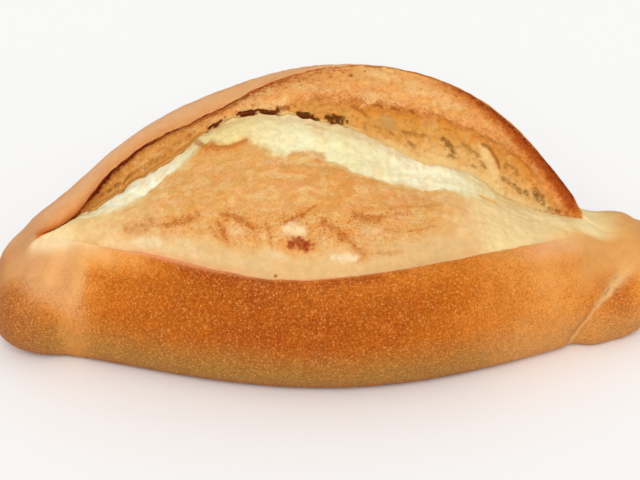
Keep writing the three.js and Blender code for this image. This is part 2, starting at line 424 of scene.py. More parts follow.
def outward(points):
    """Unit normals of the lofted surface."""
    lengthwise = np.gradient(points, axis=0)
    crosswise = np.roll(points, -1, axis=1) - np.roll(points, 1, axis=1)
    normal = np.cross(lengthwise, crosswise)
    return normal / (np.linalg.norm(normal, axis=2, keepdims=True) + 1e-9)


def region_runs(points, columns):
    """How far each point of a region is from its first point and from its last, in millimetres."""
    steps = step_lengths(points)
    runs = {}
    for name, span in columns.items():
        lengths = steps[:, span]
        passed = np.cumsum(lengths, axis=1) - lengths
        runs[name] = passed, lengths.sum(axis=1, keepdims=True) - passed
    return runs


x_places = station_places()
section_y, section_z, COLUMNS = sections(x_places)
x_grid = np.broadcast_to(x_places[:, None], section_y.shape)
section_y, section_z = close_ends(x_grid, section_y, section_z)
section_y, section_z = fold_ends(x_grid, section_y, section_z)
smooth = soften(np.stack([x_grid, section_y, section_z], -1), COLUMNS)
RUNS = region_runs(smooth, COLUMNS)


def line_distance(x, up, line):
    """How far places on a region, laid flat, are from a line through a few points."""
    nearest = np.full(x.shape, np.inf)
    for (x0, up0), (x1, up1) in zip(line, line[1:]):
        run_x, run_up = x1 - x0, up1 - up0
        t = np.clip(((x - x0) * run_x + (up - up0) * run_up) / (run_x**2 + run_up**2), 0, 1)
        nearest = np.minimum(nearest, np.hypot(x - x0 - t * run_x, up - up0 - t * run_up))
    return nearest


class Skin:
    """One region of the roll: where its points lie, and what is laid on them.

    start and end are a point's distance along the region from its first line and to its last one.
    height stands out from the smooth roll. sand, crumb and scorch are shares of their finishes."""

    def __init__(self, name):
        self.columns = COLUMNS[name]
        self.points = smooth[:, self.columns]
        self.x, self.y, self.z = np.moveaxis(self.points, 2, 0)
        self.start, self.end = RUNS[name]
        self.height, self.sand, self.crumb, self.scorch = np.zeros((4, *self.x.shape))
        self.colour = np.zeros(self.points.shape)
        self.noises = {}

    def noise(self, seed, size, layers=2, stretch=(1, 1, 1)):
        asked = seed, size, layers, stretch
        if asked not in self.noises:
            self.noises[asked] = Noise(seed).layered(self.points / stretch, size, layers)
        return self.noises[asked]

    def lay(self, colour, amount, height=0.0):
        """Lays a colour over the region where amount is above 0, and raises it by a height."""
        self.colour = blend(self.colour, colour, np.clip(amount, 0, 1))
        self.height = self.height + height * amount

    def calm(self, amount):
        """Takes away a share of the sand, the scorch and the crumb."""
        for name in ("sand", "scorch", "crumb"):
            setattr(self, name, getattr(self, name) * (1 - amount))

    def patches(self, seed, size, low, high, layers=2, stretch=(1, 1, 1)):
        return ramp(low, high, self.noise(seed, size, layers, stretch))

    def mark(self, line, width, up=None, ragged=0.35, soft=0.5, seed=61):
        """A mark along a line of (x, up), ragged and soft at its edge; up is from the first line."""
        away = line_distance(self.x, self.start if up is None else up, line)
        away = away + ragged * width * self.noise(seed, 1.1)
        return ramp(1 + soft, 1 - soft, away / width)

    def grit(self, seed, size=0.8, low=-0.15, high=0.35):
        return self.patches(seed, size, low, high)


def pit(skin, x, up, long, tall, depth, lean=0.0, seed=71):
    """Digs a ragged pore, and gives how much each point lies in it."""
    run_x, run_up = skin.x - x, skin.start - up
    turned_x = run_x * math.cos(lean) + run_up * math.sin(lean)
    turned_up = run_up * math.cos(lean) - run_x * math.sin(lean)
    away = np.hypot(turned_x / long, turned_up / tall) + 0.22 * skin.noise(seed, 0.9)
    inside = ramp(1.1, 0.55, away)
    skin.height -= depth * inside
    return inside


# ---- colours

def srgb(red, green, blue):
    """A colour given as it looks on a screen, 0 to 255, turned into linear light."""
    value = np.array([red, green, blue]) / 255
    return np.where(value <= 0.04045, value / 12.92, ((value + 0.055) / 1.055) ** 2.4)


# From pale dough to scorched crust.
BAKED = [(0.2, srgb(234, 207, 142)), (0.34, srgb(231, 184, 120)), (0.44, srgb(229, 169, 104)),
         (0.52, srgb(226, 152, 76)), (0.6, srgb(218, 137, 56)), (0.68, srgb(208, 119, 36)),
         (0.76, srgb(195, 103, 16)), (0.84, srgb(181, 91, 6)), (0.92, srgb(166, 74, 2)),
         (1.0, srgb(112, 42, 4))]

WHITE_CRUMB = srgb(236, 227, 179)
YELLOW_CRUMB = srgb(233, 206, 138)
CREAM_SKIN = srgb(225, 184, 124)
TAN_SKIN = srgb(216, 160, 89)
PINK_SKIN = srgb(226, 160, 104)
ORANGE_SKIN = srgb(216, 143, 66)
PALE_YELLOW = srgb(233, 204, 146)
STREAK_BROWN = srgb(186, 110, 34)
CREASE_BROWN = srgb(176, 96, 26)
SCAB_RED = srgb(148, 40, 2)
# The painted shade inside the tear's holes.
GAP_SHADOW = srgb(104, 42, 8)
GAP_SHADOW_OLIVE = srgb(100, 51, 8)
OLIVE_PORE = srgb(136, 92, 30)
GOLDEN_WALL = srgb(215, 155, 77)
AMBER_WALL = srgb(207, 129, 38)
OCHRE_WALL = srgb(212, 160, 80)
SALMON_WALL = srgb(231, 168, 98)
RED_SPECKLE = srgb(182, 84, 30)
GREY_FILM = srgb(186, 148, 88)
PALE_FILM = srgb(229, 193, 129)
DULL_CRUST = srgb(163, 118, 52)
BASE_CRUST = srgb(176, 118, 58)
# The pink of a painted highlight along the rim of the front lip.
PINK_LIP_HIGHLIGHT = srgb(231, 156, 110)
# The darkest red-brown: the lip's scorched line in painted shadow, and dark seams and specks.
LIP_DARK = srgb(104, 22, 2)
TIP_ORANGE = srgb(212, 128, 50)
SCORCHED_RED = srgb(174, 72, 10)
DARK_RED = srgb(100, 26, 2)
TIP_RED = srgb(158, 58, 2)
RIDGE_RED = srgb(206, 126, 62)
FOLD_BROWN = srgb(150, 88, 24)
# The painted shade at the bottom of pits and pores.
PIT_SHADOW = srgb(70, 40, 8)
PINK_CREAM = srgb(233, 194, 132)
PALE_PINK = srgb(230, 176, 118)
WORN_SKIN = srgb(242, 224, 182)
PINK_CRUMB = srgb(243, 214, 164)
YOLK = srgb(234, 172, 78)
PALE_CREAM = srgb(238, 208, 158)
SEAM_ORANGE = srgb(200, 104, 36)
DOME_CREAM = srgb(243, 218, 162)
DOME_YELLOW = srgb(230, 200, 134)
# Painted light: crumb made brighter where it lies turned from the light.
LIT_CRUMB = srgb(253, 248, 218)
# A painted highlight for the outer edge of the rounded strip behind the ear's lip.
STRIP_HIGHLIGHT = srgb(226, 174, 128)
STRIP_CORE = srgb(214, 140, 80)
LIP_WARM = srgb(233, 184, 116)
LIGHT_DULL = srgb(202, 141, 74)
KNOB_TAN = srgb(209, 150, 96)
KNOB_DULL = srgb(166, 104, 52)
VALLEY_DULL = srgb(190, 134, 72)
TIP_TAN = srgb(217, 153, 83)
RIGHT_CREAM = srgb(243, 222, 162)
STRAND = srgb(226, 180, 112)
FOOT_TAN = srgb(221, 174, 106)
FOOT_SKIN = srgb(214, 173, 116)
FOOT_CRUMB = srgb(226, 198, 132)


def baked(bake):
    """The crust's colour after a share of the darkest bake."""
    steps = [at for at, _ in BAKED]
    return np.stack([np.interp(bake, steps, [colour[i] for _, colour in BAKED]) for i in range(3)], -1)


# ---- the crust

# How baked the crust is along the roll, at the front lip, halfway down, and low down.
NEAR_LIP = [(-60, 0.44), (-50, 0.5), (-44, 0.6), (-38, 0.76), (-31, 0.85), (-5, 0.84), (6, 0.8), (14, 0.72),
            (30, 0.66), (40, 0.56), (50, 0.45), (60, 0.42), (70, 0.5)]
HALF_WAY = [(-78, 0.84), (-72, 0.74), (-67, 0.54), (-62, 0.5), (-57, 0.62), (-51, 0.74), (-42, 0.82),
            (-28, 0.88), (-5, 0.88), (18, 0.85), (38, 0.65), (48, 0.56), (60, 0.66), (66, 0.83), (73, 0.58)]
LOW_DOWN = [(-76, 0.95), (-69, 0.92), (-60, 0.7), (-50, 0.8), (-28, 0.86), (-5, 0.88), (18, 0.82),
            (40, 0.66), (52, 0.6), (62, 0.78), (68, 0.88), (74, 0.6)]
# Paler streaks down the left end's shallow valley: a line of (x, z), its width, and how pale it is.
VALLEY_STREAKS = [([(-59, 30), (-61.7, 26.4), (-64.4, 21.8)], 1.1, 0.5),
                  ([(-58, 29.5), (-56.6, 26.6), (-57.6, 22.7), (-59.4, 17.4)], 1.2, 0.6),
                  ([(-60, 13.5), (-59.2, 8), (-59, 3)], 2.6, 0.4)]


def crust_grain(skin):
    """The crust's slow swells, its dimples and its fine blisters."""
    skin.height = (0.4 * skin.noise(21, 24, 1) + 0.2 * skin.noise(22, 9, 1) + 0.07 * skin.noise(23, 3.2, 1)
                   + 0.05 * skin.noise(24, 1.3, 2)) * ramp(0.2, 5, skin.z)
    skin.sand = 0.06 + 0.94 * ramp(0.44, 0.66, skin.bake)


def settle_ends(skin, away):
    """Lets the crust's swells die away where the slash closes, away from which a point lies."""
    closed = np.maximum(ramp(-58, -66, skin.x), ramp(52, 60, skin.x))
    skin.height *= mix(1, ramp(0, 7, away), closed)


def shoulder(skin, begins=52, paleness=1):
    """The right end's top is one pale, smooth dome, browner towards its tip."""
    wave = 0.5 * skin.noise(59, 6)
    there = ramp(begins, max(begins + 1, 60), skin.x)
    top = skin.z + wave + 3 * ramp(-5, 6, skin.y)
    warm = ramp(15, 21, top) * there
    skin.lay(TIP_TAN, mix(0.8, 1, ramp(60, 64, skin.x)) * warm)
    pale = paleness * ramp(21.8, 24, top) * there * ramp(73, 63, skin.x + wave)
    skin.lay(DOME_YELLOW, 0.95 * pale)
    skin.lay(DOME_CREAM, 0.7 * pale * bell(skin.x - 60, 4.5))
    skin.calm(0.9 * np.maximum(pale, warm))


def left_tip(skin, lowest=18):
    """The left end's top is one pale skin, with no edge between crust and slash."""
    level = skin.z + 0.4 * (skin.x + 70)
    there = ramp(-64.5, -69, skin.x) * ramp(lowest, lowest + 7, level)
    skin.lay(blend(baked(0.7), KNOB_TAN, ramp(13, 21, level)), 0.95 * there)
    tongue = bell(skin.z - 28.5 - 0.28 * (skin.x + 64), 1.5) * ramp(-6, -7.6, skin.y)
    skin.lay(PALE_CREAM, 0.85 * tongue * between(-72, -68, -61, -57, skin.x))
    skin.calm(0.7 * there)


def folds(skin):
    """The paler dough in the left end's valley and along the right end's fold."""
    lay = skin.lay
    left, right = ramp(-50, -54, skin.x) * ramp(3, -5, skin.y), ramp(0, 30, skin.x)
    for line, width, pale in VALLEY_STREAKS:
        streak = pale * left * skin.mark(line, width, skin.z, soft=0.9)
        lay(baked(mix(0.56, 0.44, ramp(6, 22, skin.z))), streak)
        skin.sand *= 1 - 0.6 * streak
    past = past_right_fold(skin.x, skin.z) + 0.3 + 0.35 * skin.noise(60, 3)
    width = mix(0.5, 1.5, ramp(9, 17, skin.z))
    fold = bell(past, width) * right
    lay(baked(mix(0.42, 0.26, ramp(8, 16, skin.z))), 0.85 * fold)
    lay(PALE_PINK, 0.5 * fold * ramp(10, 15, skin.z))
    lay(OLIVE_PORE, 0.6 * bell(past + 0.6, 0.5) * skin.grit(62, 0.9, 0.2, 0.5) * right)
    skin.sand *= 1 - 0.7 * fold


def dull_knob(skin):
    """The left knob's brown, duller than the rest of the crust."""
    skin.lay(baked(0.9), 0.5 * ramp(-66, -74, skin.x) * ramp(22, 12, skin.z))
    skin.lay(KNOB_DULL, 0.6 * ramp(-62, -70, skin.x) * ramp(25, 17, skin.z))


def front_crust(skin, down):
    """The crust below the front lip; down is how far below the lip a point lies."""
    lay, x = skin.lay, skin.x
    bake = mix(through(x, NEAR_LIP), through(x, HALF_WAY), ramp(1.5, 8, down))
    bake = mix(bake, through(x, LOW_DOWN), ramp(10, 22, down))
    skin.bake = bake + 0.035 * skin.noise(51, 13, 3) + 0.025 * skin.noise(52, 3.5, 2)
    skin.bake = skin.bake + 0.06 * bell(np.hypot(x - 13.6, down - 13.7), 2.4)
    skin.colour = baked(skin.bake)
    crust_grain(skin)
    # Low down the crust is duller and darker, partly its own brown and partly painted shade, darkest at the
    # bottom edge.
    low = ramp(17, 5, skin.z + 1.5 * skin.noise(53, 8))
    lay(blend(DULL_CRUST, LIGHT_DULL, ramp(24, 46, x)), 0.85 * low)
    lay(baked(0.95), 0.55 * ramp(4, 0.5, skin.z) * ramp(50, 20, x))
    dull_knob(skin)
    lay(VALLEY_DULL, 0.45 * bell(x + 60, 4) * ramp(20, 8, skin.z))
    lay(KNOB_TAN, 0.75 * ramp(-55, -60, x) * ramp(14, 20, skin.z + 0.5 * (x + 66)))
    folds(skin)

    # Right below the lip the crust is darkest in the middle of the roll.
    middle = between(-40, -30, 6, 22, x)
    lay(baked(0.93), 0.8 * middle * bell(down - 1.4, 1.5) * skin.patches(63, 3, -0.6, 0.2))
    # A pink painted highlight runs along the lip's edge, broader towards the right end.
    edge = bell(down, 0.45 + 0.5 * bell(x + 37, 9)) * between(-54, -46, 30, 46, x)
    lay(PINK_LIP_HIGHLIGHT, 0.75 * edge)
    lay(PINK_LIP_HIGHLIGHT, 0.6 * bell(down - 1, 3) * ramp(38, 50, x))
    lay(LIP_WARM, 0.8 * bell(down, mix(1.2, 2.4, ramp(46, 58, x))) * ramp(42, 54, x))
    lay(PALE_CREAM, 0.6 * bell(down, 1.2) * between(-68, -64, -56, -50, x))
    skin.sand *= 1 - 0.8 * edge
    settle_ends(skin, down)
    left_tip(skin)
    shoulder(skin, paleness=0)


def back_crust(skin, down):
    """The crust behind the ear's lip, paler just behind it, where the ear stood up late."""
    lay = skin.lay
    late = 0.4 + 0.09 * ramp(-46, -60, skin.x) + 0.04 * skin.noise(54, 7)
    body = 0.7 + 0.05 * skin.noise(54, 16, 3) + 0.03 * skin.noise(55, 4, 2)
    ends = 0.1 * ramp(50, 72, np.abs(skin.x)) - 0.2 * ramp(-66, -76, skin.x)
    skin.bake = mix(late, body - ends, ramp(4, 22, down + 2 * skin.noise(56, 10)))
    skin.colour = baked(skin.bake)
    crust_grain(skin)
    lay(PINK_SKIN, 0.5 * ramp(14, 5, down))
    # Towards the left, a painted highlight along the strip's rounded outer edge, and a deeper orange core
    # by the lip.
    left = ramp(-18, -34, skin.x)
    lay(STRIP_HIGHLIGHT, 0.7 * bell(down - 7, 3) * left)
    lay(STRIP_CORE, 0.7 * bell(down, 2.6) * left)
    # Low down the crust is duller and darker, partly its own brown and partly painted shade.
    lay(DULL_CRUST, 0.8 * ramp(13, 4, skin.z))
    dull_knob(skin)
    skin.scorch = 0.5 * bell(down, 1.6) * between(-66, -60, -12, 0, skin.x)
    folds(skin)
    settle_ends(skin, down)
    left_tip(skin)
    shoulder(skin, paleness=ramp(16, 5, down))
    seam = bell(down, 1.3) * between(-69, -66, -60, -50, skin.x)
    lay(SEAM_ORANGE, 0.85 * seam)
    lay(LIP_DARK, 0.3 * seam * bell(down, 0.5) * ramp(-67, -62, skin.x))


def base_crust(skin):
    """The flat underside, matt and evenly browned, with a little of the tray's flour."""
    skin.colour = np.broadcast_to(BASE_CRUST, skin.points.shape)
    skin.lay(baked(0.8), 0.35 * skin.patches(57, 9, -0.3, 0.6, 3))
    skin.lay(PALE_YELLOW, 0.3 * skin.patches(58, 5, 0.25, 0.7, 3))
    skin.sand = np.full(skin.x.shape, 0.6)


# ---- the open face

# The face's skin ends in a torn edge, this far below the tear; white crumb shows above it.
TORN_EDGE = [(-62, 2.5), (-56, 5), (-50.5, 7), (-44, 9.6), (-37, 8.6), (-31.8, 7.4), (-28.3, 6.5),
             (-24, 10.4), (-18.7, 11.8), (-12.5, 15.4), (-5, 16.4), (-1, 17.4), (3.7, 20), (12.5, 19.6),
             (20.6, 18), (28, 15.8), (33, 14), (38, 10.2), (43.2, 5), (50, 1.5), (56, 1.2)]
# How white the crumb is along the roll.
WHITENESS = [(-66, 0.1), (-54, 0.5), (-46, 1), (-36, 0.9), (-29, 0.3), (-19, 0.2), (-12, 0.85), (8, 0.8),
             (22, 1), (31, 0.9), (36, 0.4), (50, 0.3)]
# Browned creases of the skin: a line of (x, mm above the front lip), its width, and how dark it is.
STREAKS = [
    ([(-23.9, 12.6), (-21.4, 12.5), (-18.8, 11.6)], 0.75, 0.9),
    ([(-25.7, 10.6), (-24.9, 8.6), (-24.2, 7.2)], 0.5, 1),
    ([(-27.6, 10), (-26.4, 7.6)], 0.4, 0.5),
    ([(-11.2, 12.6), (-9.4, 13.6), (-7.4, 14.7)], 0.6, 0.95),
    ([(-7.4, 14.7), (-4.3, 16.9)], 0.22, 0.7),
    ([(4.2, 13.7), (6.8, 12.7), (9.3, 12.4)], 0.7, 0.9),
    ([(9.3, 12.3), (14, 13), (17, 12.4)], 0.3, 0.4),
    ([(-3, 12.4), (-0.8, 10.8), (0.7, 9.3)], 0.7, 0.8),
    ([(0.7, 9.3), (3, 7.5), (4, 5.6), (5.4, 4.4)], 0.6, 0.7),
    ([(-37.4, 7.4), (-35.4, 8.6), (-33.7, 9.4), (-30.4, 11.7)], 0.6, 0.85),
    ([(-45.8, 5.4), (-43.2, 5.4), (-40.4, 7.2)], 1.1, 0.5),
    ([(3.4, 3), (8, 4.4), (14, 4)], 0.35, 0.35),
    ([(10, 9), (17, 8.4), (22, 9)], 0.25, 0.35),
    ([(-15.6, 12.4), (-14.8, 9.5), (-14.6, 7)], 0.3, 0.45),
    ([(12, 15), (18, 14.4), (24, 14.6)], 0.22, 0.3),
]
# Where the skin wore through to pale dough: a line as above, its width, and how pale it is.
WORN = [
    ([(-10.6, 11.4), (-8.2, 10.8)], 1.2, 1),
    ([(-23, 9.8), (-21.4, 10)], 1, 0.5),
    ([(-0.8, 4.6), (3.4, 3.8)], 0.8, 1),
    ([(-14.4, 5.4), (-11.6, 5.2)], 0.9, 0.6),
    ([(-51, 0.8), (-44, 1.5), (-38, 2.2), (-32, 2.6)], 1.2, 0.45),
    ([(-44.5, 2.2), (-39.5, 3.2)], 0.9, 0.8),
    ([(-34.6, 4.6), (-33, 4.2)], 0.9, 0.6),
    ([(-17.6, 18), (-15.8, 18.8)], 1.5, 0.35),
    ([(6, 9.8), (8.6, 9.2)], 1.2, 0.45),
    ([(-31, 2.4), (-22, 3), (-16, 2.4)], 1, 0.3),
]
# How far the ear's golden wall reaches down over the crumb on the left: (x, mm below the tear).
WALL_REACH = [(-57, 0), (-54, 1.2), (-50, 1.6), (-46, 0.9), (-41, 1.6), (-38, 2.6), (-34, 2.2), (-30, 1.4),
              (-27, 0)]
# Small pits in the crumb, darkened with painted shade: x, mm below the tear, radius, and how dark.
CRUMB_PITS = [(-33.8, 2.5, 0.5, 0.95), (-36.4, 3.2, 0.35, 0.5), (-52.4, 1.6, 0.4, 0.7),
              (-50.6, 0.8, 0.4, 0.6), (-47.2, 0.6, 0.4, 0.6), (-53.6, 2.4, 0.3, 0.5)]


def face_skin(skin):
    """The skin: tan where it stood proud, creamier at its foot and towards both ends."""
    lay, noise, patches = skin.lay, skin.noise, skin.patches
    up, x = skin.start, skin.x
    wide = (1.8, 1, 1)
    skin.colour = np.broadcast_to(CREAM_SKIN, skin.points.shape)
    proud = between(-50, -33, 18, 34, x)
    foot = ramp(4, 9, up + 2 * noise(81, 6))
    lay(TAN_SKIN, proud * mix(0.25, 1, foot))
    warm = bell(x - 4, 22) * ramp(7, 13, up)
    lay(ORANGE_SKIN, 0.6 * warm * patches(82, 7, -0.5, 0.6, 3, wide))
    lay(PINK_SKIN, 0.5 * patches(83, 3, 0, 0.6, 3, wide))
    lay(ORANGE_SKIN, 0.5 * proud * foot * patches(85, 1.3, 0.0, 0.6, 2, wide))
    lay(PINK_CRUMB, 0.18 * patches(84, 1.6, 0.0, 0.7, 3, (3, 1, 1)))
    lay(YELLOW_CRUMB, 0.3 * patches(139, 2.2, 0.0, 0.6, 3, wide))
    lay(PALE_YELLOW, 0.9 * ramp(26, 40, x + 2 * noise(85, 6)))
    lay(RIGHT_CREAM, ramp(34, 42, x) * ramp(10, 4, skin.end + noise(132, 4)))
    lay(PALE_YELLOW, ramp(-55, -62, x))
    lay(FOOT_SKIN, 0.9 * between(-46, -34, 24, 36, x) * ramp(8, 3, up))
    skin.height = 0.4 * noise(31, 11, 1) + 0.22 * noise(32, 4.2, 1, wide)
    skin.scorch = (0.36 + 0.45 * bell(x + 4, 20) * bell(up - 10, 5)) * proud * foot


def torn_crumb(skin):
    """White crumb along the tear, set back behind the skin's torn edge. Gives where it lies."""
    lay = skin.lay
    below, x = skin.end, skin.x
    edge = through(x, TORN_EDGE) + 1.1 * skin.noise(86, 4.5, 3) * (1 - 0.5 * ramp(20, 34, x))
    fray = mix(0.4, 1.5, skin.patches(88, 9, -0.4, 0.5, 1))
    torn = ramp(1, -1, (below - edge) / fray)
    lay(YELLOW_CRUMB, 0.6 * ramp(1, -1, (below - edge - fray) / fray))
    whiteness = through(x, WHITENESS)
    lay(blend(YELLOW_CRUMB, WHITE_CRUMB, whiteness), torn, -0.35 * ramp(38, 28, x))
    # Painted light: the torn crumb is brighter on the left and around x 21, where it lies turned from the
    # light.
    lay(LIT_CRUMB, 0.8 * torn * between(-58, -50, -38, -30, x))
    lay(LIT_CRUMB, 0.6 * torn * bell(x - 21, 9))
    lay(YELLOW_CRUMB, 0.4 * torn * skin.patches(89, 3.6, 0.05, 0.6, 3))
    lay(PINK_CRUMB, 0.45 * torn * whiteness * skin.patches(90, 3, 0.1, 0.5, 2))
    skin.height = (skin.height + 0.2 * torn * skin.noise(35, 4, 2)
                   + 0.12 * (1 - torn) * skin.noise(33, 1.6, 2, (2.5, 1, 1)))
    skin.scorch *= 1 - torn
    return torn


def paint_face(skin):
    lay, mark = skin.lay, skin.mark
    up, below, x = skin.start, skin.end, skin.x
    face_skin(skin)
    torn = torn_crumb(skin)

    # A browned flap of skin that stayed up by the tear, and the paler skin under it.
    flap = [(-30.3, 2.4), (-29.4, 5.6), (-27.8, 8.6), (-25, 11), (-22, 11.6), (-19.2, 11.4)]
    lay(TAN_SKIN, 0.8 * mark([(-27, 11), (-24, 13.5), (-16, 15)], 1.8, below, soft=0.8), 0.2)
    lay(ORANGE_SKIN, 0.7 * mark(flap[2:], 1.3, below, soft=0.8))
    flap_edge = mark(flap, 0.6, below, soft=0.7)
    lay(STREAK_BROWN, 0.7 * flap_edge, 0.25)
    skin.scorch += 0.7 * flap_edge
    lay(ORANGE_SKIN, 0.7 * mark([(-8.6, 16.2), (-6, 15.8), (-2.4, 15.6)], 1, below, 0.6, 0.8), 0.1)
    lay(ORANGE_SKIN, 0.4 * mark([(-4, 5.6), (-1.4, 5.2)], 0.9, below, 0.6, 0.9))

    for line, width, dark in STREAKS:
        halo = dark * mark(line, 2.6 * width, ragged=0.8, soft=0.9)
        crease = dark * mark(line, 1.1 * width, ragged=0.8, soft=0.65)
        lay(ORANGE_SKIN, 0.6 * halo)
        lay(CREASE_BROWN, crease * mix(0.5, 1, skin.grit(91, 0.9)), 0.3 * min(width, 1))
        skin.scorch += 0.6 * crease + 0.35 * halo
    for line, width, pale in WORN:
        worn = pale * mark(line, 1.1 * width, ragged=0.8, soft=1)
        lay(WORN_SKIN, 0.62 * worn**1.5, 0.12)
        skin.scorch *= 1 - worn

    # A scab where the skin scorched, a spot of yolk-coloured crust, and a pit by the lip.
    lay(ORANGE_SKIN, 0.8 * mark([(-10.9, 7.4), (-5.9, 7)], 1.8, ragged=0.6, soft=0.8))
    scab = mark([(-10.2, 7.9), (-8.6, 8.3), (-7, 7.4)], 1.15, ragged=0.8, soft=0.35)
    lay(SCAB_RED, scab * mix(0.75, 1, skin.grit(94, 0.6)))
    lay(SCAB_RED, 0.5 * mark([(-7, 7.6), (-5.4, 7.6)], 0.4, ragged=0.8))
    skin.height += scab * (0.2 + 0.3 * skin.noise(36, 0.9))
    lay(YOLK, 0.8 * mark([(34.4, 12.6), (37.4, 11.4)], 0.65, below, 0.5, 0.9))
    lay(SCAB_RED, 0.8 * ramp(0.6, 0.2, np.hypot(x + 13.9, up - 0.8)), -0.3)

    # The foot of the ear's wall, where it reaches down over the crumb, and the pits in it, in painted
    # shade.
    reach = through(x, WALL_REACH) + 0.7 * skin.noise(95, 1.3, 3)
    hangs = ramp(0, 0.6, reach)
    lay(YELLOW_CRUMB, 0.7 * hangs * ramp(0.9, 0, below - reach))
    lay(GOLDEN_WALL, hangs * ramp(0.4, -0.4, below - reach))
    lay(OLIVE_PORE, 0.55 * hangs * bell(below - reach + 0.5, 0.6) * skin.grit(131, 0.8, 0, 0.4))
    for place_x, place_below, radius, dark in CRUMB_PITS:
        away = np.hypot(x - place_x, below - place_below) / radius + 0.3 * skin.noise(96, 0.8)
        lay(PIT_SHADOW, dark * ramp(1.3, 0.6, away), -0.3)

    settled = ramp(0, 2.2, up) * np.maximum(ramp(0, 0.8, below), ramp(4, 12, x))
    skin.height *= settled * between(-70, -60, 54, 62, x)
    seam = between(-67.5, -66, -59, -55, x) * ramp(1.5, 0.5, below)
    lay(SEAM_ORANGE, 0.8 * seam)
    lay(LIP_DARK, 0.5 * seam * skin.grit(137, 0.8, -0.1, 0.4))
    skin.crumb = 0.55 + 0.45 * torn
    # A pink painted highlight along the rim of the front lip.
    lay(PINK_LIP_HIGHLIGHT, 0.4 * bell(up, 1) * between(-54, -46, -22, -14, x))
    lay(LIP_WARM, 0.8 * bell(up, 2.6) * ramp(44, 54, x))
    left_tip(skin, 0)
    shoulder(skin, paleness=ramp(0.4, 3, up))


# ---- the tear and the ear's wall

# A ridge runs up the ear's wall, this far above the tear; the wall below it is golden and hollow.
RIDGE = [(-14, -3), (-4.6, 3.4), (0.9, 4.6), (6, 5.4), (12.5, 7.4), (16.2, 8.7), (22.9, 10.4), (28.9, 9.6),
         (36, 9.8), (40.7, 11), (45.2, 10.1), (47.9, 8.2), (51.2, 4.6), (55, 1.5)]
# The scorched band along the ear's lip: its width.
SCORCHED = [(20, 0.3), (30, 0.7), (36, 1.3), (40.5, 2.4), (45, 3.2), (50, 3.7), (54, 4.6), (57, 4.4),
            (60, 3)]
# The dark line under the ear's lip, scorched crust in painted shadow: how far down the wall it reaches, and
# how dark it is.
LIP_SHADE = [(-66, 0.3), (-58, 0.9), (-53, 3.3), (-46, 3.3), (-41, 2.5), (-36, 1.8), (-28, 0.9), (-16, 0.6),
             (0, 0.45), (30, 0.45)]
LIP_DARKNESS = [(-68, 0), (-64, 0.9), (-40, 1), (-26, 0.85), (-10, 0.7), (30, 0.75)]
# Pores of the wall, painted shade inside: x, mm above the tear, half length, half height, depth, lean, and
# how dark.
PORES = [(19, 4.2, 1.3, 0.55, 0.5, 0.2, 0.75), (20.7, 5, 0.9, 0.5, 0.4, 0, 0.65),
         (22.6, 5.3, 0.9, 0.5, 0.4, 0, 0.7), (15.6, 2.2, 0.7, 0.35, 0.3, 0, 0.5),
         (20.1, 2.2, 1.1, 0.55, 0.5, 0, 0.75), (12.4, 2, 0.9, 0.3, 0.3, 0, 0.5),
         (27.4, 4.8, 0.8, 0.55, 0.6, 0.5, 0.9), (28.5, 4.4, 0.8, 0.7, 0.7, -0.6, 1),
         (29.4, 3.4, 0.6, 1, 0.7, 0.3, 1), (29.9, 2.5, 0.5, 0.6, 0.5, 0, 0.9),
         (29.3, 1.5, 0.9, 0.5, 0.5, 0, 0.9), (33.2, 4.8, 1.5, 0.7, 0.5, -0.3, 0.5),
         (35.4, 4.4, 0.9, 0.5, 0.4, 0, 0.5), (33.4, 0.7, 0.7, 0.35, 0.3, 0, 0.7),
         (36.8, 2.8, 1, 0.5, 0.4, -0.5, 0.8), (34.8, 1.2, 0.7, 0.35, 0.3, 0, 0.6),
         (42.1, 6.2, 0.5, 0.9, 0.4, 0, 0.6), (43.3, 6.8, 0.9, 0.4, 0.4, 0, 0.6),
         (44.7, 6.2, 0.5, 0.8, 0.4, 0, 0.65), (41.6, 3, 0.6, 0.5, 0.5, -0.5, 0.9),
         (42.8, 3, 0.6, 0.6, 0.5, 0, 0.95), (44.1, 2.8, 0.7, 0.6, 0.5, -0.5, 0.95),
         (45.4, 2.2, 0.7, 0.7, 0.6, 0, 1), (47, 2.6, 0.6, 0.8, 0.6, 0, 0.95),
         (49.2, 3.6, 0.8, 0.9, 0.6, 0, 0.95), (49.9, 2.4, 1.1, 1, 0.9, 0.3, 1),
         (50.8, 1.2, 0.6, 0.6, 0.5, 0, 0.95), (52.4, 0.5, 0.6, 0.4, 0.4, 0, 0.8),
         (54.2, 0.4, 0.7, 0.35, 0.4, 0, 0.85), (56.2, 0.3, 0.6, 0.3, 0.3, 0, 0.85),
         (-52, 0.7, 0.6, 0.35, 0.3, 0, 0.7), (-50.4, 0.9, 0.7, 0.4, 0.4, 0, 0.8),
         (-48.3, 1, 0.9, 0.4, 0.4, 0, 0.8), (-46.3, 0.8, 0.8, 0.35, 0.3, 0, 0.75),
         (-45, 0.9, 0.6, 0.3, 0.3, 0, 0.6)]
# Small dark spots high on the wall: x, mm below the ear's lip, and radius.
SPECKS = [(5.7, 3.4, 0.8), (8.8, 1.9, 0.45), (-5.7, 4.4, 0.4), (29.9, 2.7, 0.5), (31.3, 1.5, 0.35),
          (32.9, 2.6, 0.4), (27.5, 2.7, 0.3), (17.3, 2.7, 0.3), (15.6, 1.6, 0.35), (22, 2.2, 0.3),
          (-14.5, 2, 0.5), (-18, 1.6, 0.5), (-20.8, 1, 0.45), (-10.6, 1.8, 0.35), (-2, 1.6, 0.3)]
# Threads of dough that still hang across the tear: (x, mm above it).
STRANDS = [[(4.2, 0), (5.2, 2.4)], [(5.9, 0), (5.4, 2), (6.4, 3)], [(3.3, 0), (3.9, 1.2)],
           [(-2.4, 0), (-3.1, 0.9)], [(11.4, 0), (10.6, 2.2)], [(17.2, 0), (18.4, 2)]]
# Finer specks, and pores with painted shade inside, are scattered at random: how many, and the seed of
# their places.
FINE_SPECKS = 110
FINE_SPECK_SEED = 3
FINE_PORES = 110
FINE_PORE_SEED = 7


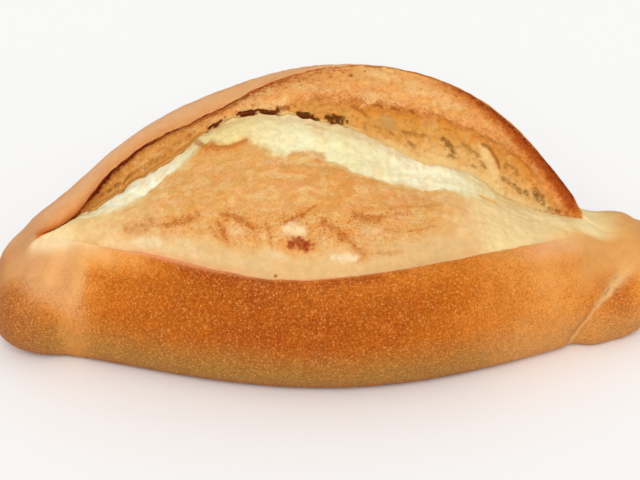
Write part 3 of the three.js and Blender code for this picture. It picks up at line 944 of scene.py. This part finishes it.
def upper_wall(skin, left):
    """Salmon and cream above the ridge, browner and rougher towards the left end."""
    lay, patches = skin.lay, skin.patches
    x, below = skin.x, skin.end
    right = 1 - left
    skin.colour = np.broadcast_to(SALMON_WALL, skin.points.shape)
    lay(GOLDEN_WALL, 0.85 * left)
    lay(PINK_SKIN, 0.6 * right * patches(101, 2.4, 0, 0.6, 3, (1.6, 1, 1)))
    lay(PINK_CREAM, 0.65 * right * patches(102, 3.4, 0.0, 0.5, 3, (2.2, 1, 1)))
    film = bell(x - 6, 13) * bell(below - 4.2, 1.6) * patches(119, 3, -0.4, 0.4, 2)
    lay(PALE_FILM, 0.6 * right * film)
    lay(ORANGE_SKIN, 0.5 * patches(112, 1.3, 0.05, 0.6, 2))
    lay(STREAK_BROWN, 0.4 * left * ramp(-44, -56, x))
    lay(YELLOW_CRUMB, 0.35 * left * patches(126, 1.8, 0.1, 0.6, 3, (1.6, 1, 1)))
    lay(STREAK_BROWN, 0.25 * left * patches(113, 1.1, 0.1, 0.5, 2))
    skin.scorch = (0.28 * right + 0.2 * left + 0.4 * left * ramp(6, 3, below)
                   + 0.7 * bell(x + 15, 12) * ramp(5, 1, below))


def lower_wall(skin, low, under):
    """Amber just under the ridge, golden in the middle and paler at the foot, with open pores in painted
    shade.
    """
    lay = skin.lay
    x, up = skin.x, skin.start
    lay(GOLDEN_WALL, low, -0.8)
    lay(OCHRE_WALL, 0.7 * low * skin.patches(104, 3, -0.1, 0.6, 3) * ramp(20, 8, x))
    lay(PALE_FILM, 0.8 * low * ramp(4.5, 1, up + 0.6 * skin.noise(120, 2)) * ramp(14, 24, x))
    lay(FOOT_TAN, 0.85 * low * ramp(6, 3, up + 0.8 * skin.noise(122, 2)) * ramp(24, 32, x))
    lay(AMBER_WALL, 0.75 * low * bell(under - 1, 2) * ramp(2, 10, x) * (1 - 0.2 * ramp(26, 34, x)))
    film = skin.patches(136, 3.2, 0.1, 0.5, 3, (1, 1, 1.5))
    lay(PALE_FILM, 0.35 * low * film * ramp(16, 26, x))
    lay(OLIVE_PORE, 0.3 * low * skin.patches(115, 0.9, 0.2, 0.6, 2))
    skin.height += low * 0.22 * skin.noise(43, 1.6, 2)
    skin.scorch *= 1 - 0.6 * low

    # A thin grey film over a bubble, and a smooth pale one under a dark fold.
    grey = ramp(1.3, 0.4, np.hypot((x - 14.5) / 2.3, (up - 4.4) / 1.9) + 0.3 * skin.noise(116, 1.6))
    lay(GREY_FILM, 0.8 * grey, 0.15)
    film = skin.mark([(37.3, 6), (38.4, 4.4), (39.2, 2.4), (39.4, 0.6)], 1.7, ragged=0.15, soft=0.6)
    lay(PALE_FILM, 0.95 * film, 0.5)
    fold = skin.mark([(36.6, 7.5), (38.6, 8), (39.9, 6.9), (40.6, 5.4)], 0.4, soft=0.9)
    lay(FOLD_BROWN, 0.8 * fold, -0.25)
    lay(FOLD_BROWN, 0.7 * skin.mark([(6.4, 4.3), (7.8, 4.2), (9.4, 3.5)], 0.5, soft=0.8), -0.2)
    lay(PALE_FILM, 0.7 * skin.mark([(8, 4.6), (9.8, 6.6), (11.1, 8.8)], 0.18, ragged=0.2), 0.15)

    # Each pore is dug and given painted shade inside, with olive grit around it.
    for place_x, place_up, long, tall, depth, lean, dark in PORES:
        around = ramp(2.2, 0.5, np.hypot((x - place_x) / long, (up - place_up) / tall))
        lay(OLIVE_PORE, 0.3 * dark * around * skin.grit(130, 0.7, -0.4, 0.4))
        inside = pit(skin, place_x, place_up, 1.15 * long, 1.15 * tall, 0.7 * depth, lean)
        lay(OLIVE_PORE, 0.75 * dark * inside * mix(0.4, 1, skin.grit(108, 0.6)))
        lay(PIT_SHADOW, 0.35 * dark * ramp(0.6, 1, inside) * skin.grit(123, 0.5))
    draw = np.random.default_rng(FINE_PORE_SEED)
    for _ in range(FINE_PORES):
        place_x, height, size = draw.uniform(-56, 58), draw.uniform(0, 1), draw.uniform(0.2, 0.45)
        place_up = 0.4 + height * max(float(through(np.array(place_x), RIDGE)), 1.4)
        inside = ramp(1.2, 0.4, np.hypot(x - place_x, up - place_up) / size)
        lay(OLIVE_PORE, 0.3 * inside, -0.2)


def wall_foot(skin):
    """Scraps of pale crumb that cling to the foot of the ear's wall."""
    x, up = skin.x, skin.start
    ragged = up + 0.7 * skin.noise(128, 1.8, 3)
    away = between(8, 16, 48, 54, x)
    skin.lay(FOOT_CRUMB, 0.85 * away * ramp(1.2, 0.1, ragged))
    pored = between(-56, -52, -34, -28, x) * bell(up - 0.8, 0.8)
    skin.lay(OLIVE_PORE, 0.5 * pored * skin.grit(129, 0.8, 0, 0.4))


def lip_scorch_and_shade(skin):
    """The ear's lip: a dark line of scorched crust in painted shadow, deep in the left undercut, and a
    broad scorched band on the right.
    """
    lay, grit = skin.lay, skin.grit
    x, below = skin.x, skin.end
    for place_x, down, radius in SPECKS:
        spot = ramp(radius, 0.3 * radius, np.hypot(x - place_x, below - down))
        lay(FOLD_BROWN, 0.85 * spot)
    speckled = bell(x + 17, 12)
    lay(RED_SPECKLE, speckled * ramp(4.2, 0.6, below) * grit(134, 0.9, -0.15, 0.2))
    lay(LIP_DARK, 0.8 * speckled * ramp(2.6, 0.3, below) * grit(135, 0.9, 0, 0.3))
    band = through(x, SCORCHED) + 0.7 * skin.noise(110, 1.8, 3)
    there = ramp(20, 34, x)
    skin.scorch += 0.75 * there * ramp(3.4, 0.2, below - band)
    lay(TIP_ORANGE, 0.75 * bell(below - band - 0.6, 3) * there)
    lay(SCORCHED_RED, 0.7 * bell(below - band - 0.3, 1.5) * grit(111, 0.7, -0.3, 0.3) * there)
    scorched = ramp(1.4, -1.2, below - band) * there
    lay(blend(SCORCHED_RED, TIP_RED, ramp(44, 54, x)), 0.92 * scorched)
    by_lip = ramp(2.2, 0.4, below + 0.4 * skin.noise(117, 1))
    lay(DARK_RED, 0.85 * scorched * by_lip * between(24, 36, 56.5, 58.5, x))
    # The painted shadow under the overhanging lip, over scorched crust, with a soft brown fringe of painted
    # shade below it.
    shade, dark = through(x, LIP_SHADE), through(x, LIP_DARKNESS)
    lay(STREAK_BROWN, 0.8 * dark * ramp(1.9, 0.8, below / shade) * grit(118, 0.9, -0.5, 0.3))
    broken = mix(1, mix(0.55, 1, grit(138, 1.3, -0.3, 0.25)), ramp(-44, -34, x))
    lay(LIP_DARK, broken * dark * ramp(1.12, 0.7, below / shade + 0.2 * skin.noise(124, 1)))
    draw = np.random.default_rng(FINE_SPECK_SEED)
    for _ in range(FINE_SPECKS):
        place_x, down, radius = draw.uniform(-32, 6), abs(draw.normal(0.6, 1.8)), draw.uniform(0.18, 0.42)
        spot = ramp(radius, 0.4 * radius, np.hypot(x - place_x, below - down))
        lay(RED_SPECKLE, 0.75 * spot)
    lay(TIP_ORANGE, 0.85 * ramp(57.3, 59, x))


def left_seam(skin):
    """Where the ear runs out on the left, a dark orange seam is all that parts it from the face."""
    there = between(-68, -66.5, -58, -55, skin.x)
    skin.lay(SEAM_ORANGE, 0.9 * there)
    skin.lay(LIP_DARK, 0.6 * there * skin.grit(127, 0.8, -0.1, 0.4) * ramp(-66, -58, skin.x))


def open_holes(skin, up, strength=1, depth=0):
    """The tear's ragged holes, in painted shade darkest at heart; up is from the foot of the ear."""
    inside, darkness = np.zeros((2, *skin.x.shape))
    for centre, half, middle, tall, dark in HOLES:
        away = np.hypot((skin.x - centre) / half, (up - middle) / tall) + 0.45 * skin.noise(109, 0.8, 2)
        softer = 0.15 * (centre > SOFT_HOLES_FROM)
        share = ramp(1.1 + softer, 0.75 - softer, away)
        inside = np.maximum(inside, share)
        darkness = np.maximum(darkness, dark * share)
    skin.lay(OLIVE_PORE, strength * np.clip(1.6 * inside, 0, 1), -depth)
    skin.lay(blend(GAP_SHADOW, GAP_SHADOW_OLIVE, ramp(-9, -6, skin.x)), np.clip(1.4 * darkness - 0.3, 0, 1))


def paint_ear(skin):
    lay = skin.lay
    up, below, x = skin.start, skin.end, skin.x
    left = ramp(-16, -34, x)
    upper_wall(skin, left)
    ridge = through(x, RIDGE) + 0.8 * skin.noise(103, 3.5, 3)
    low = ramp(1.2, -1.2, up - ridge)
    lower_wall(skin, low, ridge - up)
    band = bell(up - ridge - 0.7, 1.5 + 0.8 * bell(x - 4, 9)) * between(-12, -2, 46, 52, x)
    lay(RIDGE_RED, 0.6 * band * skin.patches(106, 1.3, -0.5, 0.4, 3), 0.2)
    skin.scorch += 0.6 * band
    for dash in ([(11.6, 7), (13, 7.3)], [(15.4, 8.4), (17, 8.8)], [(19.6, 9.8), (20.6, 10)]):
        lay(FOLD_BROWN, 0.75 * skin.mark(dash, 0.4, ragged=0.6))
    skin.height += 0.28 * skin.noise(41, 6, 1) + 0.14 * skin.noise(42, 2.2, 3)

    wall_foot(skin)
    open_holes(skin, up, strength=0.85, depth=0.7)
    lay(FOLD_BROWN, 0.8 * skin.mark([(-10.4, 1), (-9, 0.8)], 0.6, ragged=0.6))
    for strand in STRANDS:
        thread = skin.mark(strand, 0.15, ragged=0.5, soft=0.9) * skin.grit(133, 0.8, -0.5, 0)
        lay(STRAND, 0.6 * thread, 0.2)
    lip_scorch_and_shade(skin)

    room = np.clip((up + below) / 6, 0, 1)
    settled = ramp(0, 1, below) * np.maximum(ramp(-0.4, 0.6, up), ramp(4, 12, x))
    skin.height *= room * settled
    skin.crumb = mix(0.6, 0.8, low)
    tip = ramp(EAR_END, EAR_END + 1, x)
    lay(PALE_YELLOW, tip)
    skin.scorch *= 1 - tip
    shoulder(skin, EAR_END)
    left_tip(skin, 0)
    left_seam(skin)


def paint_tear(skin, face, ear):
    """The ledge of crumb between the face and the ear, with painted shade where it gapes."""
    lay, x = skin.lay, skin.x
    t = np.linspace(0, 1, STEPS["tear"])[None]
    skin.colour = np.broadcast_to(mix(YELLOW_CRUMB, GOLDEN_WALL, 0.25), skin.points.shape)
    lay(WHITE_CRUMB, 0.6 * ramp(1.2, 0.2, skin.start) * ramp(-12, -6, x))
    lay(GOLDEN_WALL, ramp(-24, -30, x))
    lay(blend(face.colour[:, -1:], ear.colour[:, :1], t), ramp(7, 11, x))
    from_ear = -TEAR_GAP * (1 - np.arange(STEPS["tear"]) / STEPS["tear"])[None] + 0 * x
    ledge = ramp(0.2, 0.9, skin.start) * ramp(10, 4, x)
    lay(OLIVE_PORE, 0.3 * ledge * skin.patches(121, 0.8, 0.2, 0.5))
    lay(FOLD_BROWN, 0.8 * between(46, 50, 57, 59, x) * skin.grit(125, 0.9))
    open_holes(skin, from_ear)
    skin.crumb = np.full(x.shape, 0.9)
    skin.height = mix(face.height[:, -1:], ear.height[:, :1], t)
    left_tip(skin, 0)
    left_seam(skin)
    shoulder(skin, EAR_END)


def close_slash(skins):
    """Past both ends of the slash, its regions take on the look of the crust on either side."""
    closed = np.maximum(ramp(-67, -71, x_places), ramp(65, 70, x_places))[:, None]
    front, back = skins["front"], skins["back"]
    slash = ("face", "tear", "ear")
    counts = [STEPS[name] for name in slash]
    shares = np.split(np.linspace(0, 1, sum(counts)), np.cumsum(counts)[:-1])
    for skin, share in zip([skins[name] for name in slash], shares):
        for name in ("height", "sand", "crumb", "scorch"):
            crust = mix(getattr(front, name)[:, -1:], getattr(back, name)[:, :1], share)
            setattr(skin, name, mix(getattr(skin, name), crust, closed))
        skin.colour = blend(skin.colour, blend(front.colour[:, -1:], back.colour[:, :1], share), closed)


# ---- the covered roll

skins = {name: Skin(name) for name in STEPS}
front_crust(skins["front"], skins["front"].end)
front_crust(skins["front_under"], skins["front"].end[:, :1] + skins["front_under"].end)
back_crust(skins["back"], skins["back"].start)
back_crust(skins["back_under"], skins["back"].end[:, :1] + skins["back_under"].start)
base_crust(skins["base"])
paint_face(skins["face"])
paint_ear(skins["ear"])
paint_tear(skins["tear"], skins["face"], skins["ear"])
close_slash(skins)


def gathered(name):
    return np.concatenate([getattr(skin, name) for skin in skins.values()], axis=1)


surface = smooth + outward(smooth) * gathered("height")[..., None]
surface[..., 2] = np.maximum(surface[..., 2], 0)


# ---- materials

def new_material(name):
    """A material with nodes, and its shader."""
    material = bpy.data.materials.new(name)
    material.use_nodes = True
    return material, material.node_tree.nodes["Principled BSDF"]


def node_maker(material):
    tree = material.node_tree

    def make(kind, **settings):
        node = tree.nodes.new(kind)
        for name, value in settings.items():
            if hasattr(node, name):
                setattr(node, name, value)
            else:
                node.inputs[name.replace("_", " ").title()].default_value = value
        return node

    return make, tree.links.new


def bread_material():
    material, shader = new_material("baked_bread")
    make, link = node_maker(material)
    place = make("ShaderNodeTexCoord").outputs["Object"]

    def noise(scale, detail, roughness=0.6):
        node = make("ShaderNodeTexNoise", scale=scale, detail=detail, roughness=roughness)
        link(place, node.inputs["Vector"])
        return node.outputs["Fac"]

    def remap(value, low, high, to_low, to_high):
        node = make("ShaderNodeMapRange", from_min=low, from_max=high, to_min=to_low, to_max=to_high)
        link(value, node.inputs["Value"])
        return node.outputs["Result"]

    def feed(sockets, values):
        for socket, value in zip(sockets, values):
            if isinstance(value, (int, float, tuple)):
                socket.default_value = value
            elif value is not None:
                link(value, socket)

    def times(a, b):
        node = make("ShaderNodeMath", operation="MULTIPLY")
        feed(node.inputs, (a, b))
        return node.outputs[0]

    def blend_colour(factor, base, over, mode="MIX"):
        node = make("ShaderNodeMix", data_type="RGBA", blend_type=mode)
        feed((node.inputs[0], *node.inputs[6:8]), (factor, base, over))
        return node.outputs[2]

    def blend_value(factor, a, b):
        node = make("ShaderNodeMix", data_type="FLOAT")
        feed(node.inputs, (factor, None, a, b))
        return node.outputs[0]

    def stored(name, output="Fac"):
        return make("ShaderNodeAttribute", attribute_name=name).outputs[output]

    def cells(scale):
        node = make("ShaderNodeTexVoronoi", scale=scale)
        link(place, node.inputs["Vector"])
        return node.outputs

    colour = stored("paint", "Color")
    sand, scorch, crumb = stored("sand"), stored("scorch"), stored("crumb")

    def tinted(colour, share, tint):
        return blend_colour(share, colour, (*srgb(*tint), 1))

    def shaded(colour, share, shade):
        return blend_colour(share, colour, blend_colour(1.0, colour, shade, "MULTIPLY"))

    colour = shaded(colour, 1.0, remap(noise(420, 4), 0.3, 0.7, 0.93, 1.07))

    # The crust's grains: each cell has a tone of its own.
    colour = shaded(colour, times(sand, 0.6), remap(cells(2400)["Color"], 0.25, 0.75, 0.74, 1.14))
    # Soft patches over the grain: darker in painted shade where the bump sinks, lighter in painted
    # highlight where it rises.
    patch = noise(2100, 2)
    colour = shaded(colour, sand, remap(patch, 0.34, 0.5, 0.8, 1.0))
    colour = tinted(colour, times(remap(patch, 0.52, 0.68, 0, 1), times(sand, 0.4)), (228, 149, 70))
    # Sparse dots with a painted glint.
    glint_cells = cells(1500)
    glint = remap(glint_cells["Distance"], 0.18, 0.4, 1, 0)
    chosen = remap(glint_cells["Color"], 0.58, 0.7, 0, 1)
    colour = tinted(colour, times(times(glint, chosen), times(sand, 0.5)), (237, 166, 88))

    colour = shaded(colour, crumb, remap(noise(900, 3), 0.35, 0.65, 0.92, 1.06))
    speckle = remap(noise(1900, 4, 0.7), 0.5, 0.62, 0, 1)
    colour = tinted(colour, times(speckle, scorch), (180, 98, 40))
    link(colour, shader.inputs["Base Color"])

    link(remap(crumb, 0, 1, 0.55, 0.9), shader.inputs["Roughness"])
    shader.inputs["Specular IOR Level"].default_value = 0.1

    bump = make("ShaderNodeBump", distance=0.0002)
    link(remap(sand, 0, 1, 0.2, 0.6), bump.inputs["Strength"])
    link(blend_value(sand, noise(1600, 3), patch), bump.inputs["Height"])
    link(bump.outputs["Normal"], shader.inputs["Normal"])
    return material


def plain_material(name, colour, roughness):
    material, shader = new_material(name)
    shader.inputs["Base Color"].default_value = (*colour, 1)
    shader.inputs["Roughness"].default_value = roughness
    return material


# ---- meshes

def add_object(name, data):
    thing = bpy.data.objects.new(name, data)
    bpy.context.scene.collection.objects.link(thing)
    return thing


def smooth_mesh(name, points, faces, material):
    mesh = bpy.data.meshes.new(name)
    mesh.from_pydata(points * MM, [], faces)
    mesh.polygons.foreach_set("use_smooth", np.ones(len(mesh.polygons), bool))
    mesh.materials.append(material)
    mesh.update()
    return mesh


def roll_faces(rings, round_count, left_tip, right_tip):
    ring = np.arange(rings - 1)[:, None] * round_count
    here = np.arange(round_count)[None]
    after = (here + 1) % round_count
    sides = np.stack([ring + here, ring + here + round_count, ring + after + round_count, ring + after], -1)
    last = (rings - 1) * round_count
    ends = [(left_tip, j, (j + 1) % round_count) for j in range(round_count)]
    ends += [(right_tip, last + (j + 1) % round_count, last + j) for j in range(round_count)]
    return sides.reshape(-1, 4).tolist() + ends


def with_tips(values, left, right):
    return np.concatenate([values.reshape(-1, *values.shape[2:]), [left], [right]])


rings, round_count = surface.shape[:2]
tips = np.array([[-LENGTH / 2, LEFT_KNOB.y, LEFT_KNOB.z], [LENGTH / 2, RIGHT_KNOB.y, RIGHT_KNOB.z]])
points = with_tips(surface, *tips)
faces = roll_faces(rings, round_count, rings * round_count, rings * round_count + 1)
roll = add_object("baked_roll", smooth_mesh("baked_roll", points, faces, bread_material()))


def store(mesh, name, values):
    """Keeps a value for each point of the roll, for its material."""
    ends = values[0].mean(axis=0), values[-1].mean(axis=0)
    flat = with_tips(values, *ends)
    if values.ndim == 3:
        attribute = mesh.attributes.new(name, "FLOAT_COLOR", "POINT")
        flat = np.concatenate([flat, np.ones((len(flat), 1))], axis=1)
        attribute.data.foreach_set("color", flat.astype(np.float32).ravel())
    else:
        attribute = mesh.attributes.new(name, "FLOAT", "POINT")
        attribute.data.foreach_set("value", flat.astype(np.float32))


store(roll.data, "paint", gathered("colour"))
for name in ("sand", "crumb", "scorch"):
    store(roll.data, name, gathered(name))

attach(roll, BODY)
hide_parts(NODE)


# ---- stage, light and camera

FLOOR_SIZE = 4.0                         # metres
SKY_STRENGTH = 0.68
floor_points = FLOOR_SIZE / 2 / MM * np.array([(-1, -1, 0), (1, -1, 0), (1, 1, 0), (-1, 1, 0)])
floor_material = plain_material("pale_floor", srgb(250, 250, 249), 0.9)
floor = add_object("floor", smooth_mesh("floor", floor_points, [(0, 1, 2, 3)], floor_material))

world = bpy.data.worlds.new("studio")
world.use_nodes = True
sky = world.node_tree.nodes["Background"].inputs
sky["Color"].default_value = (1, 1, 1, 1)
sky["Strength"].default_value = SKY_STRENGTH
bpy.context.scene.world = world
bpy.context.scene.view_settings.view_transform = "Standard"


def soft_sun(name, turn, lift, strength, spread):
    """Even light from a wide patch of sky, turned from the front and lifted, in degrees."""
    light = bpy.data.lights.new(name, "SUN")
    light.energy = strength
    light.angle = math.radians(spread)
    lamp = add_object(name, light)
    lamp.rotation_euler = (math.radians(90 - lift), 0, math.radians(turn))


soft_sun("key", turn=-6, lift=38, strength=1.62, spread=40)

# The camera looks down on the slash from a little to the left.
CAMERA_TURN = math.radians(-4)
CAMERA_TILT = math.radians(28)
CAMERA_DISTANCE = 0.48
CAMERA_TARGET = Vector((-0.0019, 0, 0.0216))
SENSOR = 36.0
VIEW_WIDTH = 0.15007                     # metres across the frame at the target's distance

back_way = Vector((math.sin(CAMERA_TURN) * math.cos(CAMERA_TILT),
                   -math.cos(CAMERA_TURN) * math.cos(CAMERA_TILT), math.sin(CAMERA_TILT)))
camera_data = bpy.data.cameras.new("camera")
camera_data.sensor_width = SENSOR
camera_data.lens = SENSOR * CAMERA_DISTANCE / VIEW_WIDTH
camera = add_object("camera", camera_data)
camera.location = CAMERA_TARGET + back_way * CAMERA_DISTANCE
camera.rotation_mode = "QUATERNION"
camera.rotation_quaternion = back_way.to_track_quat("Z", "Y")
bpy.context.scene.camera = camera
